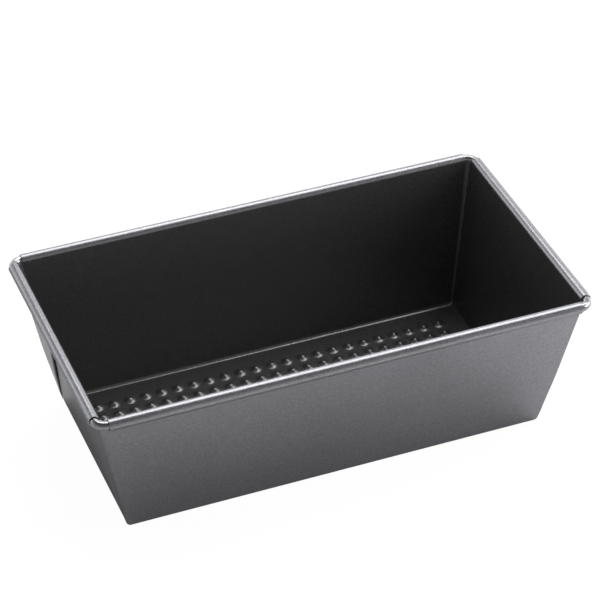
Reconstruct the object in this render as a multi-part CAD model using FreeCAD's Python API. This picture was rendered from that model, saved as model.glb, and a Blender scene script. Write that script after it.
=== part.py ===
"""Folded loaf pan with a wired rim and an embossed floor.

The pan is one folded sheet blank curled over one closed wire, so the model has two nodes:
pan_body, the sheet, and rim_wire, the wire inside its curl.

Frame: millimetres, +Z up, origin at the centre of the underside. X runs along the pan.
"""
import FreeCAD, Part
import math
import os

# Overall sizes, over the rim roll
OVERALL_LENGTH = 250.0
OVERALL_WIDTH = 141.3
OVERALL_HEIGHT = 80.6

# Sheet and its bends
SHEET = 0.6
WALL_DRAFT = 10.2             # degrees that each wall leans outwards
BOTTOM_BEND = 2.6             # outer radius between the floor and a wall
CORNER_BEND = 2.6             # outer radius of an upright corner

# Rim wire and the curl over it
WIRE_DIAMETER = 4.3
WIRE_CLEARANCE = 0.05         # all round, between the wire and the curl
WIRE_CORNER_RADIUS = 4.9      # of the wire's centreline
WIRE_JOINT_GAP = 0.3          # between the butted ends, hidden in the curl
CURL_END_GAP = 0.1            # from the end of a curl to the start of the wire's bend
CURL_LIP_GAP = 0.35           # between the curl's free lip and the wall

# Corner gussets: surplus sheet folded double against the outside of the end walls
FOLD_GAP = 0.1                # between the folded layers
GUSSET_TOP_GAP = 0.3          # between a gusset and the curl above it

# Bumps embossed in the floor
BUMP_PITCH = 8.37
BUMP_BASE = 5.0               # across the corners, at the floor
BUMP_CROWN = 2.2              # across the corners, at the crown
BUMP_HEIGHT = 1.6
BUMP_SIDES = 6
HOLLOW_SIDES = 4              # of the pit that the punch leaves under a bump
BUMP_MARGIN = 11.0            # least distance from a bump's centre to the foot of a wall

V = FreeCAD.Vector
DRAFT = math.radians(WALL_DRAFT)
ROLL_RADIUS = WIRE_DIAMETER / 2 + WIRE_CLEARANCE + SHEET
RAIL_HALF_LENGTH = OVERALL_LENGTH / 2 - ROLL_RADIUS
RAIL_HALF_WIDTH = OVERALL_WIDTH / 2 - ROLL_RADIUS
RAIL_HEIGHT = OVERALL_HEIGHT - ROLL_RADIUS
CURL_SETBACK = WIRE_CORNER_RADIUS + CURL_END_GAP
GUSSET_THICKNESS = 2 * (SHEET + FOLD_GAP)


def wall_half(rail_half, inset, z):
    """Half distance between two opposite wall planes at height z.

    inset is how far the plane lies inside the rim's centreline, measured square to the wall.
    """
    return rail_half - inset / math.cos(DRAFT) - (RAIL_HEIGHT - z) * math.tan(DRAFT)


def faceted(rings):
    """A solid with flat faces; each ring of points runs counter-clockwise seen from outside."""
    faces = [Part.Face(Part.makePolygon(points + points[:1])) for points in rings]
    return Part.Solid(Part.Shell(faces))


def tapered_block(foot, top):
    """A solid between two rings of points that run counter-clockwise, foot below top."""
    sides = [[foot[i - 1], foot[i], top[i], top[i - 1]] for i in range(len(foot))]
    return faceted([foot[::-1], top] + sides)


def frustum(end_inset, side_inset, low, high, thinner=0):
    """A tapered block between wall planes, with rounded upright corners and a rounded foot.

    thinner is how much less than the outer bends its radii are.
    """
    def ring(z):
        x = wall_half(RAIL_HALF_LENGTH, end_inset, z)
        y = wall_half(RAIL_HALF_WIDTH, side_inset, z)
        return [V(x, y, z), V(-x, y, z), V(-x, -y, z), V(x, -y, z)]

    block = tapered_block(ring(low), ring(high))
    upright = [e for e in block.Edges if e.Vertexes[0].Z != e.Vertexes[-1].Z]
    block = block.makeFillet(CORNER_BEND - thinner, upright)
    foot = [e for e in block.Edges if max(vertex.Z for vertex in e.Vertexes) < low + 1e-6]
    return block.makeFillet(BOTTOM_BEND - thinner, foot)


def both_ways(shape, normal):
    """The shape and its mirror image through the origin plane with that normal."""
    return [shape, shape.mirror(V(0, 0, 0), normal)]


def curl(rail_half, run_half, along_x):
    """The sheet curled over the wire on one straight side, from the wall's top to its free lip."""
    bore = ROLL_RADIUS - SHEET
    start = 180 - WALL_DRAFT
    lip = start + math.degrees(math.acos((bore - CURL_LIP_GAP) / ROLL_RADIUS)) - 360

    def spot(radius, angle):
        a = math.radians(angle)
        return V(0, rail_half + radius * math.cos(a), RAIL_HEIGHT + radius * math.sin(a))

    def arc(radius):
        middle = spot(radius, (start + lip) / 2)
        return Part.Arc(spot(radius, lip), middle, spot(radius, start)).toShape()

    section = Part.Wire(Part.__sortEdges__([
        arc(ROLL_RADIUS),
        Part.makeLine(spot(ROLL_RADIUS, start), spot(bore, start)),
        arc(bore),
        Part.makeLine(spot(bore, lip), spot(ROLL_RADIUS, lip)),
    ]))
    roll = Part.Face(section).extrude(V(2 * run_half, 0, 0))
    roll.translate(V(-run_half, 0, 0))
    if not along_x:
        roll.rotate(V(0, 0, 0), V(0, 0, 1), -90)
    return roll


def below_rim():
    """The space below the four planes in which the walls turn into the curls."""
    reach = OVERALL_LENGTH
    slope = math.tan(DRAFT)

    def prism(rail_half, along_x):
        outer = rail_half + ROLL_RADIUS
        points = [
            V(-reach, -outer, -1), V(-reach, outer, -1),
            V(-reach, outer, RAIL_HEIGHT - ROLL_RADIUS * slope),
            V(-reach, 0, RAIL_HEIGHT + rail_half * slope),
            V(-reach, -outer, RAIL_HEIGHT - ROLL_RADIUS * slope),
        ]
        block = Part.Face(Part.makePolygon(points + points[:1])).extrude(V(2 * reach, 0, 0))
        if not along_x:
            block.rotate(V(0, 0, 0), V(0, 0, 1), 90)
        return block

    return prism(RAIL_HALF_WIDTH, True).common(prism(RAIL_HALF_LENGTH, False))


def gusset():
    """One folded corner, outside the end wall at +X and next to the side wall at +Y.

    The blank's corner is a square less the lean of both walls. Folded in half it makes a
    flap whose free crease rises from the corner of the floor.
    """
    bore = ROLL_RADIUS - SHEET
    lean = math.atan(math.sin(DRAFT))
    crease = math.tan(math.pi / 4 - 2 * lean) / math.cos(DRAFT)
    corner_y = wall_half(RAIL_HALF_WIDTH, bore, 0)
    top = RAIL_HEIGHT - ROLL_RADIUS - GUSSET_TOP_GAP
    outside = OVERALL_WIDTH
    inboard = wall_half(RAIL_HALF_LENGTH, ROLL_RADIUS + 2 * BOTTOM_BEND, 0)

    envelope = frustum(bore - GUSSET_THICKNESS, bore, 0, top)
    points = [
        V(inboard, corner_y + crease, -1), V(inboard, outside, -1),
        V(inboard, outside, top), V(inboard, corner_y - crease * top, top),
    ]
    wedge = Part.Face(Part.makePolygon(points + points[:1])).extrude(V(OVERALL_LENGTH, 0, 0))
    return envelope.common(wedge)


def bump_places():
    """Centres of the bumps: a square grid, centred, as many as clear the walls."""
    def spread(rail_half):
        usable = 2 * (wall_half(rail_half, ROLL_RADIUS, SHEET) - BUMP_MARGIN)
        count = int(usable / BUMP_PITCH) + 1
        return [(i - (count - 1) / 2) * BUMP_PITCH for i in range(count)]

    return [V(x, y, 0) for x in spread(RAIL_HALF_LENGTH) for y in spread(RAIL_HALF_WIDTH)]


def polygon(sides, across, z):
    """Corners of a regular polygon about the Z axis, where across is its corner circle."""
    turns = [2 * math.pi * (i + 0.5) / sides for i in range(sides)]
    return [V(across / 2 * math.cos(a), across / 2 * math.sin(a), z) for a in turns]


def bump():
    """One raised bump on the floor: a short tapered prism with a flat crown."""
    return tapered_block(polygon(BUMP_SIDES, BUMP_BASE, SHEET),
                         polygon(BUMP_SIDES, BUMP_CROWN, SHEET + BUMP_HEIGHT))


def hollow():
    """The hollow that a pointed punch leaves under a bump, one sheet below its crown."""
    foot = polygon(HOLLOW_SIDES, BUMP_BASE, 0)
    point = V(0, 0, BUMP_HEIGHT)
    return faceted([foot[::-1]] + [[foot[i - 1], foot[i], point] for i in range(HOLLOW_SIDES)])


def make_pan_body():
    """The folded sheet: floor, walls, gussets, curls and bumps in one piece."""
    bore = ROLL_RADIUS - SHEET
    high = RAIL_HEIGHT + ROLL_RADIUS
    outer = frustum(bore, bore, 0, high)
    cavity = frustum(ROLL_RADIUS, ROLL_RADIUS, SHEET, high + 1, SHEET)
    body = outer.common(below_rim())
    gussets = [g for half in both_ways(gusset(), V(0, 1, 0)) for g in both_ways(half, V(1, 0, 0))]
    body = body.fuse(gussets).cut(cavity)
    long_curl = curl(RAIL_HALF_WIDTH, RAIL_HALF_LENGTH - CURL_SETBACK, True)
    short_curl = curl(RAIL_HALF_LENGTH, RAIL_HALF_WIDTH - CURL_SETBACK, False)
    curls = both_ways(long_curl, V(0, 1, 0)) + both_ways(short_curl, V(1, 0, 0))
    body = body.fuse(curls).removeSplitter()
    places = bump_places()
    body = body.fuse([bump().translated(place) for place in places])
    return body.cut([hollow().translated(place) for place in places])


def make_rim_wire():
    """The wire: a rounded rectangle with its two ends butted in the middle of one long side."""
    x, y, r = RAIL_HALF_LENGTH, RAIL_HALF_WIDTH, WIRE_CORNER_RADIUS
    nook = r * (1 - math.sqrt(0.5))
    start = V(-WIRE_JOINT_GAP / 2, y, RAIL_HEIGHT)
    edges = []
    here = start
    for sx, sy in ((-1, 1), (-1, -1), (1, -1), (1, 1)):
        along_y = V(sx * x, sy * (y - r), RAIL_HEIGHT)
        along_x = V(sx * (x - r), sy * y, RAIL_HEIGHT)
        middle = V(sx * (x - nook), sy * (y - nook), RAIL_HEIGHT)
        first, last = (along_x, along_y) if sx == -sy else (along_y, along_x)
        edges.append(Part.makeLine(here, first))
        edges.append(Part.Arc(first, middle, last).toShape())
        here = last
    edges.append(Part.makeLine(here, V(WIRE_JOINT_GAP / 2, y, RAIL_HEIGHT)))
    section = Part.Wire(Part.makeCircle(WIRE_DIAMETER / 2, start, V(1, 0, 0)))
    return Part.Wire(edges).makePipeShell([section], True, False)


def main():
    os.makedirs("parts", exist_ok=True)
    for name, make in (("pan_body", make_pan_body), ("rim_wire", make_rim_wire)):
        shape = make()
        if len(shape.Solids) != 1 or not shape.isValid():
            raise RuntimeError(f"{name} is not one valid solid")
        shape.Solids[0].exportStep(f"parts/{name}.step")


main()
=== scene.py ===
"""Looks of a folded loaf pan with a wired rim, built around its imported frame.

All lengths are in metres, in the frame's own axes: X along the pan, Y across it, Z up.
"""

import math

import bmesh
import bpy
import numpy as np
from bpy.props import FloatProperty, FloatVectorProperty, IntProperty, PointerProperty
from mathutils import Matrix, Vector


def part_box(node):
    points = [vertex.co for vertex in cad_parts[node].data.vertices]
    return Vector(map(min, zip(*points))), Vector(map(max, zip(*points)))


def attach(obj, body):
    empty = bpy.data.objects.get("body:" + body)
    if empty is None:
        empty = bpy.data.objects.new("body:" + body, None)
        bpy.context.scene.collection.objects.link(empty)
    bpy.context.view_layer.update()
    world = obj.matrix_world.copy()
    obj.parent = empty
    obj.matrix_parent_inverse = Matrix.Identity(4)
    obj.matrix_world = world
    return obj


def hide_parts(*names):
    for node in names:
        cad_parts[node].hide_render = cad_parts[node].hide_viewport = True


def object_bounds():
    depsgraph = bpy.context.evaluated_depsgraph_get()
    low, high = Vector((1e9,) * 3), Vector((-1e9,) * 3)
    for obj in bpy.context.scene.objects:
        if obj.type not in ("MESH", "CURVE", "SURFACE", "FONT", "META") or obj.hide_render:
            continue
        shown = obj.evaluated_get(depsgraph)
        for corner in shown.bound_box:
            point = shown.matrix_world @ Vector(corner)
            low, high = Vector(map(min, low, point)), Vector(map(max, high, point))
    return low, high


bl_info = {
    "name": "Folded loaf pan",
    "version": (1, 0, 0),
    "blender": (4, 5, 0),
    "location": "3D View > Sidebar > Loaf pan",
    "description": "Builds a folded non-stick loaf pan with a wired rim and an embossed floor",
    "category": "Add Mesh",
}

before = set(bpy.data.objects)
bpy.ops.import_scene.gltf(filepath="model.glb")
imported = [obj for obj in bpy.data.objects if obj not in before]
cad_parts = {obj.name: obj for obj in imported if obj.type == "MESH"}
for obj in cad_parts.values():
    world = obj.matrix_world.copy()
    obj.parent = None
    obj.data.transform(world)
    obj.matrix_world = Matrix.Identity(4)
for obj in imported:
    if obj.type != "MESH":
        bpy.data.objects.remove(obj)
CAD_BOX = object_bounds()

# The frame's own sizes, which every piece is worked out from
PAN_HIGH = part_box("pan_body")[1]
WIRE_LOW, WIRE_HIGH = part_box("rim_wire")
WIRE_RADIUS = (WIRE_HIGH.z - WIRE_LOW.z) / 2
RAIL_HEIGHT = (WIRE_HIGH.z + WIRE_LOW.z) / 2
RAIL_HALF_LENGTH = WIRE_HIGH.x - WIRE_RADIUS
RAIL_HALF_WIDTH = WIRE_HIGH.y - WIRE_RADIUS
ROLL_RADIUS = PAN_HIGH.z - RAIL_HEIGHT

SIDES = 4                     # of the pan; the ring parameter runs one unit along each
WELD_DISTANCE = 2e-7
SHARP_ANGLE = math.radians(38)

# The lights: name, place, point it faces, width and height
SOFTBOX = ("softbox", (0.42, 0.46, 1.20), (0, 0, 0.04), (1.4, 0.80))
SIDE_LIGHT = ("side_light", (0.85, -0.28, 0.42), (0.10, -0.16, 0), (0.7, 0.6))

# The pale walls: where a direction's height and its turn to the back right start and end to
# count, and how strong the walls are where the turn is least
WALLS_HEIGHT = (0.02, 0.80)
WALLS_HEADING = (0.45, 0.89, 0)
WALLS_TURN = (-0.6, 0.95)
WALLS_LEAST = 0.16
BACKDROP = 0.92               # strength of the studio where the camera sees it directly


# ---------------------------------------------------------------- sizes and colours

class PanSheetSizes(bpy.types.PropertyGroup):
    """Sizes of the folded sheet."""

    sheet: FloatProperty(
        name="Sheet", description="Thickness of the sheet", default=0.0006, unit="LENGTH")
    draft: FloatProperty(
        name="Wall draft", description="How far each wall leans outwards",
        default=math.radians(10.2), subtype="ANGLE")
    bottom_bend: FloatProperty(
        name="Bottom bend", description="Outer radius between the floor and a wall",
        default=0.0026, unit="LENGTH")
    corner_foot: FloatProperty(
        name="Corner at the foot", description="Outer radius of an upright corner at the floor",
        default=0.0014, unit="LENGTH")
    curl_setback: FloatProperty(
        name="Curl setback", description="From the rail's corner to the end of a curl",
        default=0.0050, unit="LENGTH")
    lip_gap: FloatProperty(
        name="Lip gap", description="Between the curl's free lip and the wall",
        default=0.00035, unit="LENGTH")
    curl_steps: IntProperty(
        name="Curl steps", description="Flats that make up the curl's section", default=44)


class GussetSizes(bpy.types.PropertyGroup):
    """Sizes of the folded corner gussets, on the outside of the end walls."""

    thickness: FloatProperty(
        name="Thickness", description="How far a gusset stands proud of the end wall at its top",
        default=0.0014, unit="LENGTH")
    foot_thickness: FloatProperty(
        name="Thickness at the foot", description="How far it stands proud where it starts",
        default=0.0005, unit="LENGTH")
    hairline: FloatProperty(
        name="Hairline", description="Gap between the gusset and the end wall",
        default=0.00006, unit="LENGTH")
    crevice: FloatProperty(
        name="Crevice", description="How deep the gap runs in under the hem",
        default=0.0012, unit="LENGTH")
    top_gap: FloatProperty(
        name="Top gap", description="Between a gusset and the curl above it",
        default=0.0003, unit="LENGTH")


class FloorBumpSizes(bpy.types.PropertyGroup):
    """The field of bumps embossed in the floor."""

    pitch: FloatProperty(
        name="Pitch", description="From one bump to the next", default=0.00837, unit="LENGTH")
    base: FloatProperty(
        name="Base", description="Width of a bump at the floor", default=0.0066, unit="LENGTH")
    height: FloatProperty(
        name="Height", description="Of a bump above the floor", default=0.0016, unit="LENGTH")
    along: IntProperty(name="Along", description="Bumps along the pan", default=23)
    across: IntProperty(name="Across", description="Bumps across the pan", default=10)


class RimWireSizes(bpy.types.PropertyGroup):
    """Sizes of the wire inside the curl."""

    corner: FloatProperty(
        name="Corner", description="Radius of the wire's centreline at a corner",
        default=0.0049, unit="LENGTH")
    joint: FloatProperty(
        name="Joint", description="Gap between the butted ends", default=0.0003, unit="LENGTH")


class FinishColours(bpy.types.PropertyGroup):
    """Colours and gloss of the finishes."""

    coat: FloatVectorProperty(
        name="Outside", description="Colour of the grey coat outside", subtype="COLOR",
        size=3, min=0, max=1, default=(0.192, 0.193, 0.205))
    coat_roughness: FloatProperty(
        name="Outside roughness", description="Roughness of the grey coat", default=0.31)
    # Inside and its roughness make a darker, glossier coat for the faces inside the pan: painted
    # shade for the hollow, though the sheet's inner face is the same grey coat where it shows on
    # the curl.
    inside: FloatVectorProperty(
        name="Inside", description="Colour of the dark coat inside", subtype="COLOR",
        size=3, min=0, max=1, default=(0.024, 0.024, 0.025))
    inside_roughness: FloatProperty(
        name="Inside roughness", description="Roughness of the dark coat", default=0.30)
    wire: FloatVectorProperty(
        name="Wire", description="Colour of the coated wire", subtype="COLOR",
        size=3, min=0, max=1, default=(0.22, 0.22, 0.225))
    wire_roughness: FloatProperty(
        name="Wire roughness", description="Roughness of the wire", default=0.22)


class StageSizes(bpy.types.PropertyGroup):
    """The floor, the light and the camera."""

    azimuth: FloatProperty(
        name="Azimuth", description="Where the camera stands round the pan",
        default=math.radians(-21.043), subtype="ANGLE")
    elevation: FloatProperty(
        name="Elevation", description="Of the camera above the horizon",
        default=math.radians(36.823), subtype="ANGLE")
    roll: FloatProperty(
        name="Roll", description="Turn of the camera about its own line of sight",
        default=math.radians(-0.530), subtype="ANGLE")
    distance: FloatProperty(
        name="Distance", description="From the camera to the point it looks at",
        default=1.3480, unit="LENGTH")
    aim: FloatVectorProperty(
        name="Aim", description="The point that the camera looks at", subtype="XYZ",
        size=3, default=(0.01461, 0.03443, 0.0400))
    lens: FloatProperty(name="Lens", description="Focal length in millimetres", default=162.46)
    softbox_power: FloatProperty(
        name="Softbox", description="Watts of the long light overhead and behind", default=22.0)
    side_power: FloatProperty(
        name="Side light", description="Watts of the low light on the right", default=7.5)
    horizon: FloatProperty(
        name="Walls", description="Strength of the pale walls behind the pan", default=3.6)
    shade: FloatProperty(
        name="Ceiling", description="Strength of the dark ceiling", default=0.22)


# ---------------------------------------------------------------- meshes

def smooth_step(x, low, high):
    """0 below low and 1 above high, with the cubic 3t^2 - 2t^3 between them."""
    t = np.clip((x - low) / (high - low), 0, 1)
    return t * t * (3 - 2 * t)


def grid_faces(ids, closed):
    """Quads between neighbouring rows and columns of vertex numbers.

    closed joins the last column to the first.
    """
    left = ids if closed else ids[:, :-1]
    right = np.roll(ids, -1, axis=1) if closed else ids[:, 1:]
    return np.stack([left[:-1], right[:-1], right[1:], left[1:]], axis=-1).reshape(-1, 4)


def welded_object(name, points, faces, finish=0):
    """A smooth mesh object of the points that the faces use, with points in one place merged.

    finish is each face's material number, or one number for them all.
    """
    mesh = bpy.data.meshes.new(name)
    mesh.from_pydata(points.tolist(), [], [list(dict.fromkeys(face)) for face in faces.tolist()])
    finishes = np.broadcast_to(finish, len(faces)).astype(np.int32)
    mesh.polygons.foreach_set("material_index", finishes)
    made = bmesh.new()
    made.from_mesh(mesh)
    bmesh.ops.delete(made, geom=[v for v in made.verts if not v.link_faces], context="VERTS")
    bmesh.ops.remove_doubles(made, verts=made.verts, dist=WELD_DISTANCE)
    bmesh.ops.dissolve_degenerate(made, edges=made.edges, dist=WELD_DISTANCE)
    bmesh.ops.recalc_face_normals(made, faces=made.faces)
    made.to_mesh(mesh)
    made.free()
    mesh.shade_smooth()
    mesh.set_sharp_from_angle(angle=SHARP_ANGLE)
    piece = bpy.data.objects.new(name, mesh)
    bpy.context.scene.collection.objects.link(piece)
    weighted = piece.modifiers.new("face_weighted_normals", "WEIGHTED_NORMAL")
    weighted.keep_sharp = True
    return piece


def round_the_pan(quarter):
    """The whole ring from one quarter, from the middle of the +Y side to that of the +X end.

    The quarter is mirrored in Y, in both and in X, and every second one is read backwards, so the
    ring runs clockwise seen from above. Columns on the mirror planes are there once.
    """
    flips = [np.array(f) for f in ((1, 1, 1), (1, -1, 1), (-1, -1, 1), (-1, 1, 1))]
    forward, backward = quarter[:, :-1], quarter[:, :0:-1]
    quarters = [(backward if i % 2 else forward) * f for i, f in enumerate(flips)]
    return np.concatenate(quarters, axis=1)


def round_the_pan_flags(flags):
    """The same walk round the pan for one flag per gap between two columns of a quarter."""
    return np.concatenate([flags[::-1] if i % 2 else flags for i in range(SIDES)])


def square_turn(points):
    """How far round a rectangle each point lies, one unit per side.

    It runs clockwise from the middle of the +Y side. u and v are X and Y as shares of the ring's
    own half sizes. Each side runs linearly with the ratio of the smaller share to the larger.
    """
    u = points[:, 0] / np.abs(points[:, 0]).max()
    v = points[:, 1] / np.abs(points[:, 1]).max()
    big = np.maximum(np.maximum(np.abs(u), np.abs(v)), 1e-12)
    u, v = u / big, v / big
    full = 1 - 1e-9
    return np.select([(v >= full) & (u >= 0), u >= full, v <= -full, u <= -full],
                     [u / 2, 1 - v / 2, 2 - u / 2, 3 + v / 2], 4 + u / 2)


def zip_rings(inner, inner_turn, outer, outer_turn):
    """Triangles that fill the flat band between two rings, seen from above, faces up.

    The edges of both rings are taken in the order of their middles; each makes a triangle with
    the corner that the other ring has reached by then.
    """
    def middles(turn):
        after = np.append(turn[1:], turn[0] + SIDES)
        return (turn + after) / 2

    mid_in, mid_out = middles(inner_turn), middles(outer_turn)
    reached_out = outer[np.searchsorted(mid_out, mid_in) % len(outer)]
    reached_in = inner[np.searchsorted(mid_in, mid_out, side="right") % len(inner)]
    return np.concatenate([
        np.stack([inner, np.roll(inner, -1), reached_out], axis=1),
        np.stack([np.roll(outer, -1), outer, reached_in], axis=1),
    ])


# ---------------------------------------------------------------- the folded sheet

class SheetForm:
    """Every line of the sheet that two of its surfaces share, from its driving sizes.

    An inset is how far a face of the sheet lies inside the rail: ROLL_RADIUS for the inner face
    and bore for the outer one.
    """

    SIDE_COLUMNS, CORNER_COLUMNS, FLAP_COLUMNS, HEM_COLUMNS, END_COLUMNS = 14, 10, 4, 9, 8
    INNER_BEND_ROWS, OUTER_BEND_ROWS, INNER_WALL_ROWS, OUTER_WALL_ROWS = 10, 11, 7, 20
    CHAMFER = 0.00012
    SUPPORT = 0.0006          # from a bend's end to the row that keeps the wall flat beside it
    GUSSET_FOOT = (0.0006, 0.0045)      # heights between which the gusset's foot steps out
    GUSSET_RISE = (0.004, 0.034)        # heights between which it then thickens
    FOOT_CORNER = 0.35        # share of the corner's radius left where a bend meets the floor

    def __init__(self, sizes, gusset):
        self.sizes, self.gusset = sizes, gusset
        self.slope = math.tan(sizes.draft)
        self.bore = ROLL_RADIUS - sizes.sheet
        self.shelf = RAIL_HEIGHT - ROLL_RADIUS - gusset.top_gap
        self.run_x = RAIL_HALF_LENGTH - sizes.curl_setback
        self.run_y = RAIL_HALF_WIDTH - sizes.curl_setback
        lean = math.atan(math.sin(sizes.draft))
        self.crease = math.tan(math.pi / 4 - 2 * lean) / math.cos(sizes.draft)
        evenly = np.linspace(0, 1 - self.CHAMFER / self.run_x, self.SIDE_COLUMNS - 1)
        self.side_shares = np.append(evenly, 1)

    def top(self, inset):
        """Height at which that face of the wall turns into the curl."""
        return RAIL_HEIGHT + inset * math.sin(self.sizes.draft)

    def halves(self, inset, z):
        """Half distances between opposite wall faces at height z, along X and along Y."""
        lost = inset / math.cos(self.sizes.draft) + (RAIL_HEIGHT - z) * self.slope
        return RAIL_HALF_LENGTH - lost, RAIL_HALF_WIDTH - lost

    def corner_radius(self, inset, z):
        """Radius of the upright corner at height z; it grows evenly up to the curls' ends."""
        at_foot = self.sizes.corner_foot - (inset - self.bore)
        at_top = self.sizes.curl_setback - inset * math.cos(self.sizes.draft)
        return at_foot + (at_top - at_foot) * np.clip(z / self.top(inset), 0, 1)

    def quarter_ring(self, half_x, half_y, radius, z, end_shares):
        """A quarter of a level rounded rectangle.

        It runs along the side, round the corner arc, then along the end at those shares of the
        end's straight half.
        """
        turn = np.linspace(math.pi / 2, 0, self.CORNER_COLUMNS)[1:]
        x = np.concatenate([self.side_shares * (half_x - radius),
                            half_x - radius + radius * np.cos(turn),
                            np.full(len(end_shares), half_x)])
        y = np.concatenate([np.full(self.SIDE_COLUMNS, half_y),
                            half_y - radius + radius * np.sin(turn),
                            end_shares * (half_y - radius)])
        return np.stack([x, y, np.full(len(x), z)], axis=1)

    def proud(self, z):
        """How far the gusset stands off the end wall: a step at its foot, then a slow one."""
        g = self.gusset
        return (g.foot_thickness * smooth_step(z, *self.GUSSET_FOOT)
                + (g.thickness - g.foot_thickness) * smooth_step(z, *self.GUSSET_RISE))

    def gusset_ring(self, half_x, half_y, radius, z):
        """A quarter ring that passes round the folded gusset.

        After the corner arc it follows the gusset's face, turns back round its hem in a half
        circle, runs in under it, and only then follows the end wall. The crease rises from the
        foot of the side wall and leans towards the middle of the end by a constant slope.
        """
        g = self.gusset
        proud = self.proud(z)
        hairline = min(g.hairline, proud * 0.3)
        hem = (proud - hairline) / 2
        arc_end = half_y - radius
        tip = min(self.halves(self.bore, 0)[1] - self.crease * z, arc_end - 2 * hem - 0.00005)
        under = min(g.crevice * proud / g.thickness, 0.8 * (arc_end - tip - hem))
        ring = self.quarter_ring(half_x + proud, half_y, radius, z, np.zeros(0))
        face = np.linspace(arc_end, tip + hem, self.FLAP_COLUMNS)[1:]
        turn = np.linspace(math.pi / 2, -math.pi / 2, self.HEM_COLUMNS)[1:]
        wall = np.linspace(1, 0, self.END_COLUMNS)[1:] * (tip + hem + under)
        x = np.concatenate([np.full(len(face), half_x + proud),
                            half_x + hairline + hem + hem * np.sin(turn),
                            [half_x + hairline, half_x],
                            np.full(len(wall), half_x)])
        y = np.concatenate([face, tip + hem - hem * np.cos(turn), [tip + hem + under] * 2, wall])
        return np.concatenate([ring, np.stack([x, y, np.full(len(x), z)], axis=1)])

    def end_shares(self):
        """Where a plain ring's columns stand on its end: above the gusset's, never backwards."""
        half_x, half_y = self.halves(self.bore, self.shelf)
        radius = self.corner_radius(self.bore, self.shelf)
        first = self.SIDE_COLUMNS + self.CORNER_COLUMNS - 1
        y = self.gusset_ring(half_x, half_y, radius, self.shelf)[first:, 1]
        shares = np.minimum.accumulate(y) / (half_y - radius)
        shares[0] = 1 - self.CHAMFER / self.run_y
        return shares

    def bend(self, inset, steps):
        """Rings through the bottom bend, from the floor to the wall.

        Each is half x, half y, corner radius and z. The section is an arc about one centre for
        both faces. The corner's radius shrinks to FOOT_CORNER of itself by the sine of the arc.
        """
        middle = self.sizes.bottom_bend
        radius = middle - (inset - self.bore)
        to_centre = radius / math.cos(self.sizes.draft)
        turn = np.linspace(0, math.pi / 2 - self.sizes.draft, steps)
        reach = radius * np.sin(turn) - to_centre
        half_x, half_y = (half + reach for half in self.halves(inset, middle))
        z = middle - radius * np.cos(turn)
        grown = np.sin(turn) / np.sin(turn[-1])
        corner = self.corner_radius(inset, z) * (self.FOOT_CORNER + (1 - self.FOOT_CORNER) * grown)
        return list(zip(half_x, half_y, corner, z))

    def curl_rows(self, shares):
        """Rows of a quarter ring over the curl: round the wire, round the lip, and back inside.

        A row is a straight line along each side, at one angle and one radius from the wire's
        centre. The last column of a curl is chamfered. The corner's columns are left empty.
        """
        sizes = self.sizes
        middle, half_sheet = (ROLL_RADIUS + self.bore) / 2, sizes.sheet / 2
        start = math.pi - sizes.draft
        free = math.acos((self.bore - sizes.lip_gap) / ROLL_RADIUS) + half_sheet / middle
        turn = np.linspace(start, start + free - 2 * math.pi, sizes.curl_steps)
        edge = np.linspace(0, math.pi, 6)[1:-1]
        angle = np.concatenate([turn, turn[-1] - half_sheet * np.sin(edge) / middle, turn[::-1]])
        radius = np.concatenate([np.full(len(turn), ROLL_RADIUS),
                                 middle + half_sheet * np.cos(edge),
                                 np.full(len(turn), self.bore)])
        rows = len(angle)
        fade = np.clip(np.minimum(np.arange(rows), np.arange(rows)[::-1]) / 2, 0, 1)
        cut_radius = radius + self.CHAMFER * fade * (middle - radius) / half_sheet

        def straight(rail, places, r, along_x):
            """One column of rows for each place along a rail."""
            out = np.repeat((rail + r * np.cos(angle))[:, None], len(places), axis=1)
            up = np.repeat((RAIL_HEIGHT + r * np.sin(angle))[:, None], len(places), axis=1)
            along = np.repeat(places[None, :], rows, axis=0)
            return np.stack([along, out, up] if along_x else [out, along, up], axis=2)

        return np.concatenate([
            straight(RAIL_HALF_WIDTH, self.side_shares[:-1] * self.run_x, radius, True),
            straight(RAIL_HALF_WIDTH, np.array([self.run_x]), cut_radius, True),
            np.zeros((rows, self.CORNER_COLUMNS - 2, 3)),
            straight(RAIL_HALF_LENGTH, np.array([self.run_y]), cut_radius, False),
            straight(RAIL_HALF_LENGTH, shares * self.run_y, radius, False),
        ], axis=1)


def bump_field(sizes, level):
    """The embossed stretch of one face of the floor, as square tiles with a bump on each.

    A bump is a bell: at distance r from its centre it stands h (1 + cos(pi r / a)) / 2 above
    the floor, where h is its height and a its base radius. A tile is rings of sixteen points
    about its centre; the last ring lies on the tile's square edge. Returns points and faces.
    """
    spokes = 16
    turn = np.arange(spokes) * 2 * math.pi / spokes
    aim = np.stack([np.cos(turn), np.sin(turn)], axis=1)
    base = sizes.base / 2
    shares = np.array([0.25, 0.50, 0.76, 1.0])
    round_rings = aim[None] * (shares * base)[:, None, None]
    square = aim * sizes.pitch / 2 / np.abs(aim).max(axis=1)[:, None]
    rings = np.concatenate([round_rings, square[None]])
    rise = np.append(sizes.height * (1 + np.cos(math.pi * shares)) / 2, 0)
    tile = np.concatenate([
        np.array([[0, 0, level + sizes.height]]),
        np.dstack([rings, np.repeat(level + rise[:, None], spokes, axis=1)]).reshape(-1, 3)])
    ids = 1 + np.arange(len(tile) - 1).reshape(-1, spokes)
    after = np.roll(ids[0], -1)
    fan = np.stack([np.zeros(spokes, int), ids[0], after, after], axis=1)
    tile_faces = np.concatenate([fan, grid_faces(ids, True)])
    x, y = np.meshgrid((np.arange(sizes.along) - (sizes.along - 1) / 2) * sizes.pitch,
                       (np.arange(sizes.across) - (sizes.across - 1) / 2) * sizes.pitch)
    places = np.stack([x.ravel(), y.ravel(), np.zeros(x.size)], axis=1)
    points = (places[:, None] + tile[None]).reshape(-1, 3)
    faces = (np.arange(len(places))[:, None, None] * len(tile) + tile_faces[None]).reshape(-1, 4)
    return points, faces


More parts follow.
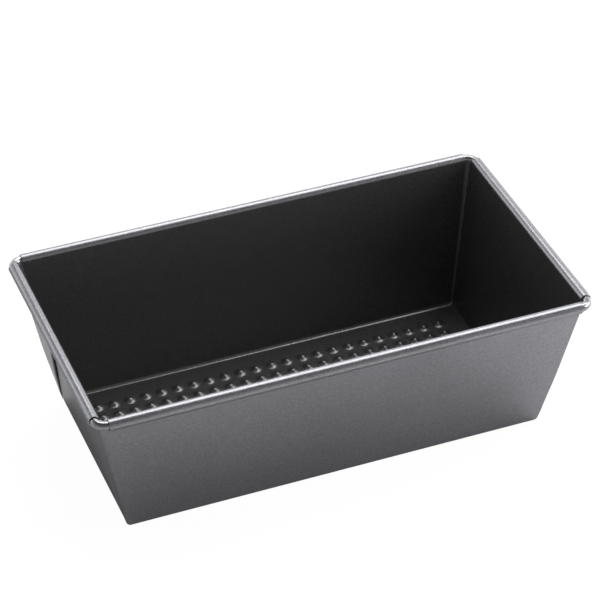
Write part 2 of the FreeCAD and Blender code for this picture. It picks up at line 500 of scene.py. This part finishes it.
def outline_of(points):
    """The points on a bump field's outer edge, one per place, clockwise, and their turns."""
    far = np.abs(points[:, :2])
    on_edge = np.flatnonzero((far > far.max(axis=0) - WELD_DISTANCE).any(axis=1))
    turn, first = np.unique(np.round(square_turn(points[on_edge]), 6), return_index=True)
    return on_edge[first], turn


def fold_sheet(sizes, gusset, bumps):
    """The whole folded sheet as one closed skin.

    One profile is carried round the pan: out from the floor through the bottom bend, up the
    inner wall, over the curl and its lip, back inside the curl, down the outer wall past the
    gussets and through the bend to the underside. At the corners the curl is left out and the
    wall's two faces are joined across the sheet's edge. The two bump fields fill the floor.
    Returns points, faces and a 1 for each face on the inside of the pan, the faces that take the
    darker coat of painted shade.
    """
    form = SheetForm(sizes, gusset)
    inner, outer = ROLL_RADIUS, form.bore
    shares = form.end_shares()

    def wall_rings(inset, heights):
        return [(*form.halves(inset, z), form.corner_radius(inset, z), z) for z in heights]

    inner_bend = form.bend(inner, form.INNER_BEND_ROWS)
    outer_bend = form.bend(outer, form.OUTER_BEND_ROWS)
    foot, top = inner_bend[-1][3], form.top(inner)
    up = np.concatenate([[foot + form.SUPPORT],
                         np.linspace(foot, top, form.INNER_WALL_ROWS)[1:-1],
                         [top - form.SUPPORT, top]])
    down = np.linspace(form.shelf, outer_bend[-1][3], form.OUTER_WALL_ROWS)[:-1]
    inside = [form.quarter_ring(*ring, shares) for ring in inner_bend + wall_rings(inner, up)]
    collar = [form.quarter_ring(*ring, shares)
              for ring in wall_rings(outer, [form.top(outer), form.shelf])]
    outside = [form.gusset_ring(*ring) for ring in wall_rings(outer, down) + outer_bend[::-1]]
    curl = form.curl_rows(shares)
    rows = round_the_pan(np.concatenate([np.stack(inside), curl, np.stack(collar + outside)]))
    ids = np.arange(rows.shape[0] * rows.shape[1]).reshape(rows.shape[:2])
    inside_ids, curl_ids, outside_ids = np.split(ids, [len(inside), len(inside) + len(curl)])

    gaps = np.arange(len(inside[0]) - 1)
    corner = (gaps >= form.SIDE_COLUMNS - 1) & (gaps < form.SIDE_COLUMNS + form.CORNER_COLUMNS - 2)
    corner = round_the_pan_flags(corner)
    ring = np.arange(len(corner))
    curled = ring[~corner]
    over = np.stack([curl_ids[:-1, curled], np.roll(curl_ids, -1, axis=1)[:-1, curled],
                     np.roll(curl_ids, -1, axis=1)[1:, curled], curl_ids[1:, curled]], axis=-1)
    edge = np.stack([inside_ids[-1], outside_ids[0]])
    edge_faces = grid_faces(edge, True)[corner]
    ends = curl_ids[:, ring[corner != np.roll(corner, 1)]]
    half = len(ends) // 2
    back = ends[::-1]
    caps = np.stack([ends[:half - 1], ends[1:half], back[1:half], back[:half - 1]], axis=-1)

    points = [rows.reshape(-1, 3)]
    faces = [grid_faces(inside_ids, True), over.reshape(-1, 4), edge_faces, caps.reshape(-1, 4),
             grid_faces(outside_ids, True)]
    count = len(points[0])
    for level, ring_ids in ((sizes.sheet, inside_ids[0]), (0.0, outside_ids[-1])):
        field, field_faces = bump_field(bumps, level)
        rim, rim_turn = outline_of(field)
        band = zip_rings(rim + count, rim_turn, ring_ids, square_turn(points[0][ring_ids]))
        points.append(field)
        faces += [field_faces + count, np.column_stack([band, band[:, -1]])]
        count += len(field)
    # 1 marks the faces inside the pan, which take the darker coat of painted shade
    painted_shade_faces = [1, 0, 0, 0, 0, 1, 1, 0, 0]      # one for each entry of faces
    flags = np.repeat(painted_shade_faces, [len(group) for group in faces])
    return np.concatenate(points), np.concatenate(faces), flags


def wire_loop(sizes):
    """The rim wire as a closed skin: a circle carried round a rounded rectangle.

    The path runs clockwise from the middle of the +Y side, where the wire's two ends are butted.
    Each corner is an arc. The circle is spanned by the path's level normal and Z; the last rings
    at both ends shrink to a small chamfer and then to the wire's axis.
    """
    flats, bend_rings, chamfer = 32, 18, 0.0002
    x, y, r = RAIL_HALF_LENGTH, RAIL_HALF_WIDTH, sizes.corner
    arc = np.linspace(0, math.pi / 2, bend_rings)
    corners = [(x - r, y - r, math.pi / 2), (x - r, r - y, 0.0),
               (r - x, r - y, -math.pi / 2), (r - x, y - r, -math.pi)]
    heading = np.concatenate([first - arc for _, _, first in corners])
    centre = np.concatenate([np.repeat([[cx, cy]], len(arc), axis=0) for cx, cy, _ in corners])
    normal = np.stack([np.cos(heading), np.sin(heading)], axis=1)
    start = np.array([[sizes.joint / 2, y], [sizes.joint / 2, y], [sizes.joint / 2 + chamfer, y]])
    finish = (start * (-1, 1))[::-1]
    path = np.concatenate([start, centre + r * normal, finish])
    normal = np.concatenate([[[0.0, 1.0]] * 3, normal, [[0.0, 1.0]] * 3])
    radius = np.full(len(path), WIRE_RADIUS)
    radius[[0, -1]] = 0
    radius[[1, -2]] = WIRE_RADIUS - chamfer
    turn = np.arange(flats) * 2 * math.pi / flats
    out = radius[:, None] * np.cos(turn)
    up = radius[:, None] * np.sin(turn)
    points = np.concatenate([path[:, None] + out[..., None] * normal[:, None],
                             (RAIL_HEIGHT + up)[..., None]], axis=2)
    ids = np.arange(points.shape[0] * flats).reshape(-1, flats)
    return points.reshape(-1, 3), grid_faces(ids, True)


# ---------------------------------------------------------------- materials

def new_material(name):
    """A material, its node tree, its Principled shader and a function that adds linked nodes."""
    material = bpy.data.materials.new(name)
    material.use_nodes = True
    tree = material.node_tree
    shader = tree.nodes["Principled BSDF"]

    def add(kind, inputs=(), **settings):
        node = tree.nodes.new(kind)
        for key, value in settings.items():
            setattr(node, key, value)
        for socket, value in dict(inputs).items():
            if isinstance(value, bpy.types.NodeSocket):
                tree.links.new(value, node.inputs[socket])
            else:
                node.inputs[socket].default_value = value
        return node

    return material, tree, shader, add


def speckle(add, place, scale, amount):
    """Fine cells mixed with a coarser grain and a slow cloudiness, from 0 to 1 about its middle.

    scale is in cells a metre, and amount is how far the cells differ from one another.
    """
    cells = add("ShaderNodeTexVoronoi", {"Vector": place, "Scale": scale})
    grain = add("ShaderNodeTexNoise", {"Vector": place, "Scale": 0.45 * scale, "Detail": 3.0})
    cloud = add("ShaderNodeTexNoise", {"Vector": place, "Scale": 25.0, "Detail": 2.0})
    fine = add("ShaderNodeMath", {0: cells.outputs["Color"], 1: amount, 2: grain.outputs["Fac"]},
               operation="MULTIPLY_ADD")
    slow = add("ShaderNodeMath", {0: cloud.outputs["Fac"], 1: 0.3, 2: -0.15 - amount / 2},
               operation="MULTIPLY_ADD")
    return add("ShaderNodeMath", {0: fine.outputs[0], 1: slow.outputs[0]}, operation="ADD",
               use_clamp=True).outputs[0]


def coat(name, dark, light, roughness, flakes):
    """A baked coat: two colours mixed by fine speckle, with orange peel and uneven gloss."""
    flake_scale, peel_scale, uneven = 2000.0, 700.0, 0.10
    material, tree, shader, add = new_material(name)
    place = add("ShaderNodeTexCoord").outputs["Object"]
    share = speckle(add, place, flake_scale, flakes)
    colour = add("ShaderNodeMix", {"Factor": share, 6: (*dark, 1), 7: (*light, 1)},
                 data_type="RGBA")
    gloss = add("ShaderNodeMath", {0: share, 1: uneven, 2: roughness - uneven / 2},
                operation="MULTIPLY_ADD")
    peel = add("ShaderNodeTexNoise", {"Vector": place, "Scale": peel_scale, "Detail": 2.0})
    bump = add("ShaderNodeBump", {"Height": peel.outputs["Fac"], "Strength": 0.10,
                                  "Distance": 0.0001})
    tree.links.new(colour.outputs[2], shader.inputs["Base Color"])
    tree.links.new(gloss.outputs[0], shader.inputs["Roughness"])
    tree.links.new(bump.outputs["Normal"], shader.inputs["Normal"])
    return material, shader


def outer_coat(colours):
    """The grey coat outside and over the rim: satin, with metallic flakes."""
    dark, light = (tuple(c * f for c in colours.coat) for f in (0.72, 1.28))
    material, shader = coat("outer_coat", dark, light, colours.coat_roughness, 0.5)
    shader.inputs["Metallic"].default_value = 0.92
    shader.inputs["Specular Tint"].default_value = (0.5, 0.5, 0.5, 1)
    return material


def painted_shade_coat(colours):
    """A darker copy of the non-stick coat, painted shade for the hollow inside the pan: a glossy
    resin with a few flakes.
    """
    dark, light = (tuple(c * f for c in colours.inside) for f in (0.8, 1.2))
    material, shader = coat("painted_shade_coat", dark, light, colours.inside_roughness, 0.5)
    shader.inputs["IOR"].default_value = 1.85
    return material


def coated_wire(colours):
    """Drawn wire under a thin coat: a fine mottle in its colour and a tighter gloss."""
    mottle_scale, uneven = 1400.0, 0.12
    material, tree, shader, add = new_material("coated_wire")
    place = add("ShaderNodeTexCoord").outputs["Object"]
    mottle = add("ShaderNodeTexNoise", {"Vector": place, "Scale": mottle_scale, "Detail": 3.0})
    dark = tuple(0.75 * c for c in colours.wire)
    colour = add("ShaderNodeMix", {"Factor": mottle.outputs["Fac"], 6: (*dark, 1),
                                   7: (*colours.wire, 1)}, data_type="RGBA")
    gloss = add("ShaderNodeMath", {0: mottle.outputs["Fac"], 1: uneven,
                                   2: colours.wire_roughness - uneven / 2},
                operation="MULTIPLY_ADD")
    bump = add("ShaderNodeBump", {"Height": mottle.outputs["Fac"], "Strength": 0.15,
                                  "Distance": 0.00005})
    tree.links.new(colour.outputs[2], shader.inputs["Base Color"])
    tree.links.new(gloss.outputs[0], shader.inputs["Roughness"])
    tree.links.new(bump.outputs["Normal"], shader.inputs["Normal"])
    shader.inputs["Metallic"].default_value = 1.0
    return material


def pale_table():
    """Matt white board; the camera sees it close to burnt out, and everything else as it is lit."""
    material, tree, shader, add = new_material("pale_table")
    place = add("ShaderNodeTexCoord").outputs["Object"]
    fibre = add("ShaderNodeTexNoise", {"Vector": place, "Scale": 180.0, "Detail": 4.0})
    colour = add("ShaderNodeMix", {"Factor": fibre.outputs["Fac"], 6: (0.78, 0.78, 0.78, 1),
                                   7: (0.82, 0.82, 0.82, 1)}, data_type="RGBA")
    tree.links.new(colour.outputs[2], shader.inputs["Base Color"])
    shader.inputs["Roughness"].default_value = 0.9
    glow = add("ShaderNodeEmission", {"Color": (1, 1, 1, 1), "Strength": 1.02})
    seen = add("ShaderNodeLightPath").outputs["Is Camera Ray"]
    share = add("ShaderNodeMath", {0: seen, 1: 0.95}, operation="MULTIPLY")
    both = add("ShaderNodeMixShader", {0: share.outputs[0], 1: shader.outputs[0],
                                       2: glow.outputs[0]})
    tree.links.new(both.outputs[0], tree.nodes["Material Output"].inputs["Surface"])
    return material


# ---------------------------------------------------------------- operators

class LOAFPAN_OT_fold_sheet(bpy.types.Operator):
    """Fold the pan from one blank: floor, walls, gussets, curled rim and bumps"""

    bl_idname = "loaf_pan.fold_sheet"
    bl_label = "Fold the sheet"
    bl_options = {"REGISTER", "UNDO"}

    def execute(self, context):
        scene = context.scene
        points, faces, inside = fold_sheet(scene.pan_sheet, scene.pan_gusset, scene.pan_bumps)
        # inside picks the second material, the darker coat of painted shade, for the faces inside
        # the pan; the curl keeps the grey coat
        piece = welded_object("folded_sheet", points, faces, inside)
        piece.data.materials.append(outer_coat(scene.pan_finish))
        piece.data.materials.append(painted_shade_coat(scene.pan_finish))
        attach(piece, "root")
        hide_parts("pan_body")
        return {"FINISHED"}


class LOAFPAN_OT_bend_wire(bpy.types.Operator):
    """Bend the stiffening wire that the sheet's rim is curled over"""

    bl_idname = "loaf_pan.bend_wire"
    bl_label = "Bend the rim wire"
    bl_options = {"REGISTER", "UNDO"}

    def execute(self, context):
        scene = context.scene
        points, faces = wire_loop(scene.pan_wire)
        piece = welded_object("wire_loop", points, faces)
        piece.data.materials.append(coated_wire(scene.pan_finish))
        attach(piece, "root")
        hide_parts("rim_wire")
        return {"FINISHED"}


class LOAFPAN_OT_set_stage(bpy.types.Operator):
    """Lay the pale table, light the studio and place the camera"""

    bl_idname = "loaf_pan.set_stage"
    bl_label = "Set the stage"
    bl_options = {"REGISTER", "UNDO"}

    def execute(self, context):
        stage = context.scene.pan_stage
        lay_table()
        light_studio(context.scene, stage)
        place_camera(context.scene, stage)
        return {"FINISHED"}


def lay_table():
    """A round table top: rings of points at growing radii about the pan."""
    spokes = 64
    turn = np.arange(spokes) * 2 * math.pi / spokes
    radii = np.array([0.0, 0.5, 2.0, 6.0])
    points = np.stack([radii[:, None] * np.cos(turn), radii[:, None] * np.sin(turn),
                       np.full((len(radii), spokes), CAD_BOX[0].z)], axis=2).reshape(-1, 3)
    ids = np.arange(len(points)).reshape(-1, spokes)
    table = welded_object("table", points, grid_faces(ids, True)[:, ::-1])
    table.data.materials.append(pale_table())


def light_studio(scene, stage):
    """A softbox overhead and behind, a low one on the right, and pale walls under a dark ceiling.

    The walls' strength falls with height by a smooth step, and rises towards the back right by
    another one. Where the camera sees the studio directly it is an even pale backdrop.
    """
    world = bpy.data.worlds.new("studio")
    world.use_nodes = True
    tree = world.node_tree

    def add(kind, operation, *inputs):
        node = tree.nodes.new(kind)
        node.operation = operation
        for i, value in enumerate(inputs):
            if isinstance(value, bpy.types.NodeSocket):
                tree.links.new(value, node.inputs[i])
            else:
                node.inputs[i].default_value = value
        return node

    def step(value, low, high, at_low, at_high):
        node = tree.nodes.new("ShaderNodeMapRange")
        node.interpolation_type = "SMOOTHSTEP"
        tree.links.new(value, node.inputs["Value"])
        for i, number in enumerate((low, high, at_low, at_high)):
            node.inputs[i + 1].default_value = number
        return node.outputs["Result"]

    direction = tree.nodes.new("ShaderNodeTexCoord").outputs["Generated"]
    height = add("ShaderNodeVectorMath", "DOT_PRODUCT", direction, (0, 0, 1)).outputs["Value"]
    back = add("ShaderNodeVectorMath", "DOT_PRODUCT", direction, WALLS_HEADING).outputs["Value"]
    walls = add("ShaderNodeMath", "MULTIPLY", step(height, *WALLS_HEIGHT, 1.0, 0.0),
                step(back, *WALLS_TURN, WALLS_LEAST, 1.0)).outputs[0]
    strength = add("ShaderNodeMath", "MULTIPLY_ADD", walls, stage.horizon, stage.shade).outputs[0]
    seen = tree.nodes.new("ShaderNodeLightPath").outputs["Is Camera Ray"]
    choose = tree.nodes.new("ShaderNodeMix")
    tree.links.new(seen, choose.inputs["Factor"])
    tree.links.new(strength, choose.inputs["A"])
    choose.inputs["B"].default_value = BACKDROP
    tree.links.new(choose.outputs[0], tree.nodes["Background"].inputs["Strength"])
    tree.nodes["Background"].inputs["Color"].default_value = (1, 1, 1, 1)
    scene.world = world
    scene.view_settings.view_transform = "Standard"

    for (name, place, target, size), power in ((SOFTBOX, stage.softbox_power),
                                               (SIDE_LIGHT, stage.side_power)):
        data = bpy.data.lights.new(name, "AREA")
        data.shape = "RECTANGLE"
        data.size, data.size_y = size
        data.energy = power
        light = bpy.data.objects.new(name, data)
        light.location = place
        light.rotation_euler = (Vector(place) - Vector(target)).to_track_quat("Z", "Y").to_euler()
        scene.collection.objects.link(light)


def place_camera(scene, stage):
    """A long lens that stands at the stage's azimuth and elevation and looks at its aim point."""
    data = bpy.data.cameras.new("camera")
    data.lens = stage.lens
    data.sensor_width = 36.0
    data.clip_start, data.clip_end = 0.05, 50.0
    camera = bpy.data.objects.new("camera", data)
    back = Vector((math.sin(stage.azimuth) * math.cos(stage.elevation),
                   -math.cos(stage.azimuth) * math.cos(stage.elevation), math.sin(stage.elevation)))
    turned = back.to_track_quat("Z", "Y").to_matrix() @ Matrix.Rotation(stage.roll, 3, "Z")
    camera.matrix_world = turned.to_4x4()
    camera.location = Vector(stage.aim) + back * stage.distance
    scene.collection.objects.link(camera)
    scene.camera = camera


class LOAFPAN_PT_panel(bpy.types.Panel):
    """Lists the pan's steps and the sizes that each of them uses"""

    bl_idname = "LOAFPAN_PT_panel"
    bl_label = "Loaf pan"
    bl_space_type = "VIEW_3D"
    bl_region_type = "UI"
    bl_category = "Loaf pan"

    def draw(self, context):
        for step, groups in STEPS:
            box = self.layout.box()
            box.operator(step.bl_idname)
            for group in groups:
                sizes = getattr(context.scene, group)
                for key in sizes.bl_rna.properties.keys():
                    if key not in ("rna_type", "name"):
                        box.prop(sizes, key)


STEPS = (
    (LOAFPAN_OT_fold_sheet, ("pan_sheet", "pan_gusset", "pan_bumps", "pan_finish")),
    (LOAFPAN_OT_bend_wire, ("pan_wire",)),
    (LOAFPAN_OT_set_stage, ("pan_stage",)),
)
GROUPS = {
    "pan_sheet": PanSheetSizes,
    "pan_gusset": GussetSizes,
    "pan_bumps": FloorBumpSizes,
    "pan_wire": RimWireSizes,
    "pan_finish": FinishColours,
    "pan_stage": StageSizes,
}
CLASSES = (*GROUPS.values(), *(step for step, _ in STEPS), LOAFPAN_PT_panel)


def register():
    for each in CLASSES:
        bpy.utils.register_class(each)
    for key, group in GROUPS.items():
        setattr(bpy.types.Scene, key, PointerProperty(type=group))


def unregister():
    for key in GROUPS:
        delattr(bpy.types.Scene, key)
    for each in reversed(CLASSES):
        bpy.utils.unregister_class(each)


def main():
    """Builds the pan step by step."""
    register()
    bpy.ops.loaf_pan.fold_sheet()
    bpy.ops.loaf_pan.bend_wire()
    bpy.ops.loaf_pan.set_stage()


if __name__ == "__main__":
    main()
